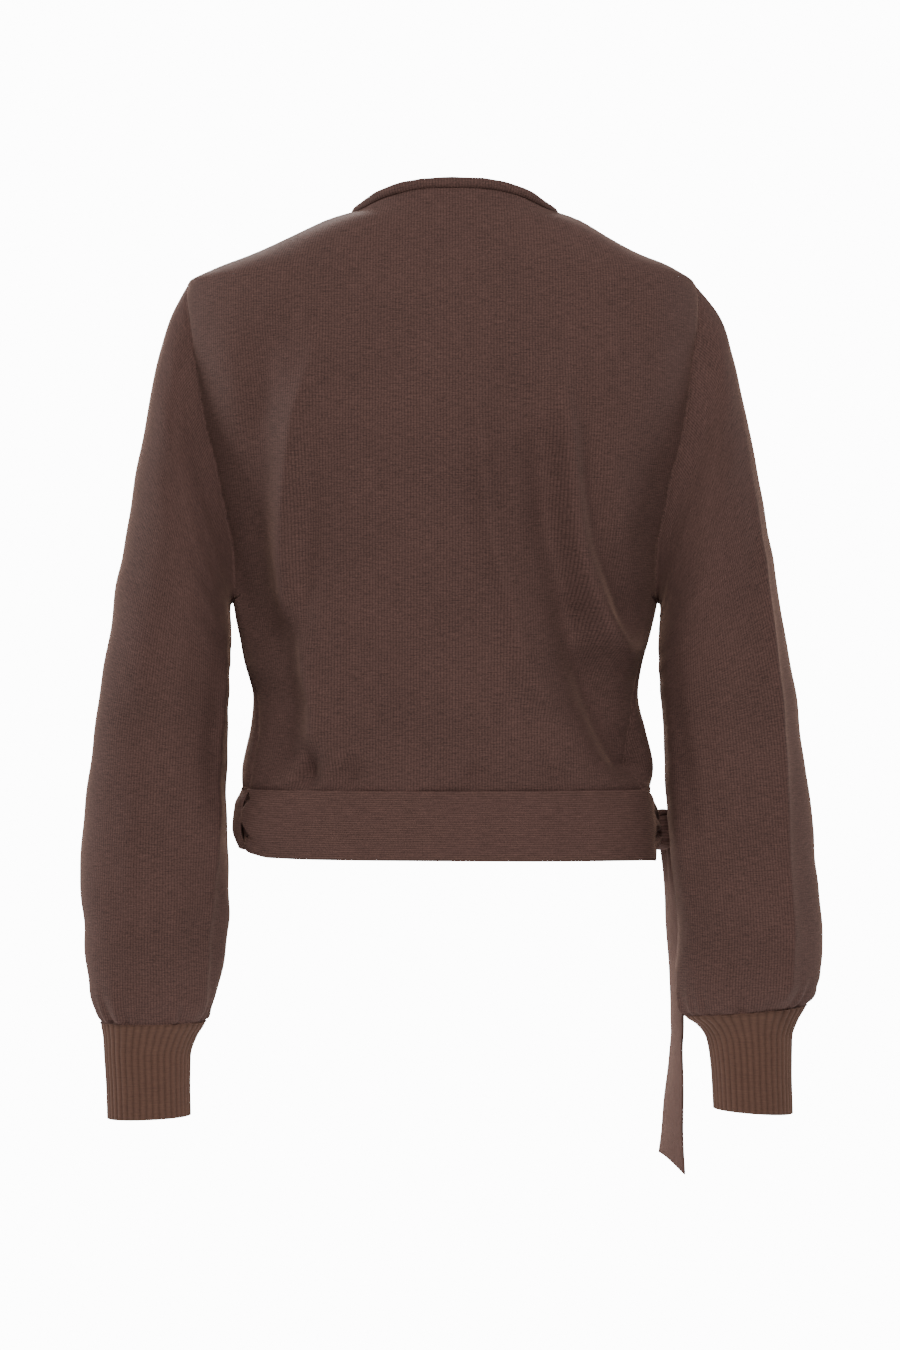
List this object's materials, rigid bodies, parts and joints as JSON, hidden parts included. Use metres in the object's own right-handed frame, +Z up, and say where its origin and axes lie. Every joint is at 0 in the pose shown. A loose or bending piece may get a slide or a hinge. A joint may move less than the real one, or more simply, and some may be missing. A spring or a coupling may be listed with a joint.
{
  "type": "wrap cardigan",
  "caption": "Knitted wrap cardigan, filled out as worn, with balloon sleeves, ribbed cuffs, a rolled neck edge and a tie that crosses the back and is knotted at one side.",
  "frame": {"origin": "on the body's middle line, level with the points where the shoulder seams meet the neck, at the mount shoulders", "axes": "+Z up along the body, -Y to the front of the garment and +Y to its back, +X to the wearer's left"},
  "size_m": [0.5557, 0.2418, 0.7446],
  "materials": {
    "fine_knit": "brown heathered fine wool jersey, matt with a soft bloom",
    "rib_knit": "brown heathered wool rib, matt"
  },
  "bodies": {
    "root": {"back_panel": "fine_knit", "over_front": "fine_knit", "under_front": "fine_knit", "sleeve_left": "fine_knit", "sleeve_right": "fine_knit", "cuff_left": "rib_knit", "cuff_right": "rib_knit", "neck_roll": "fine_knit", "edge_roll_over": "fine_knit", "edge_roll_under": "fine_knit", "over_front_band": "fine_knit", "under_front_band": "fine_knit", "back_belt": "fine_knit", "knot": "fine_knit", "tie_tail_long": "fine_knit", "tie_tail_short": "fine_knit"}
  },
  "joints": []
}
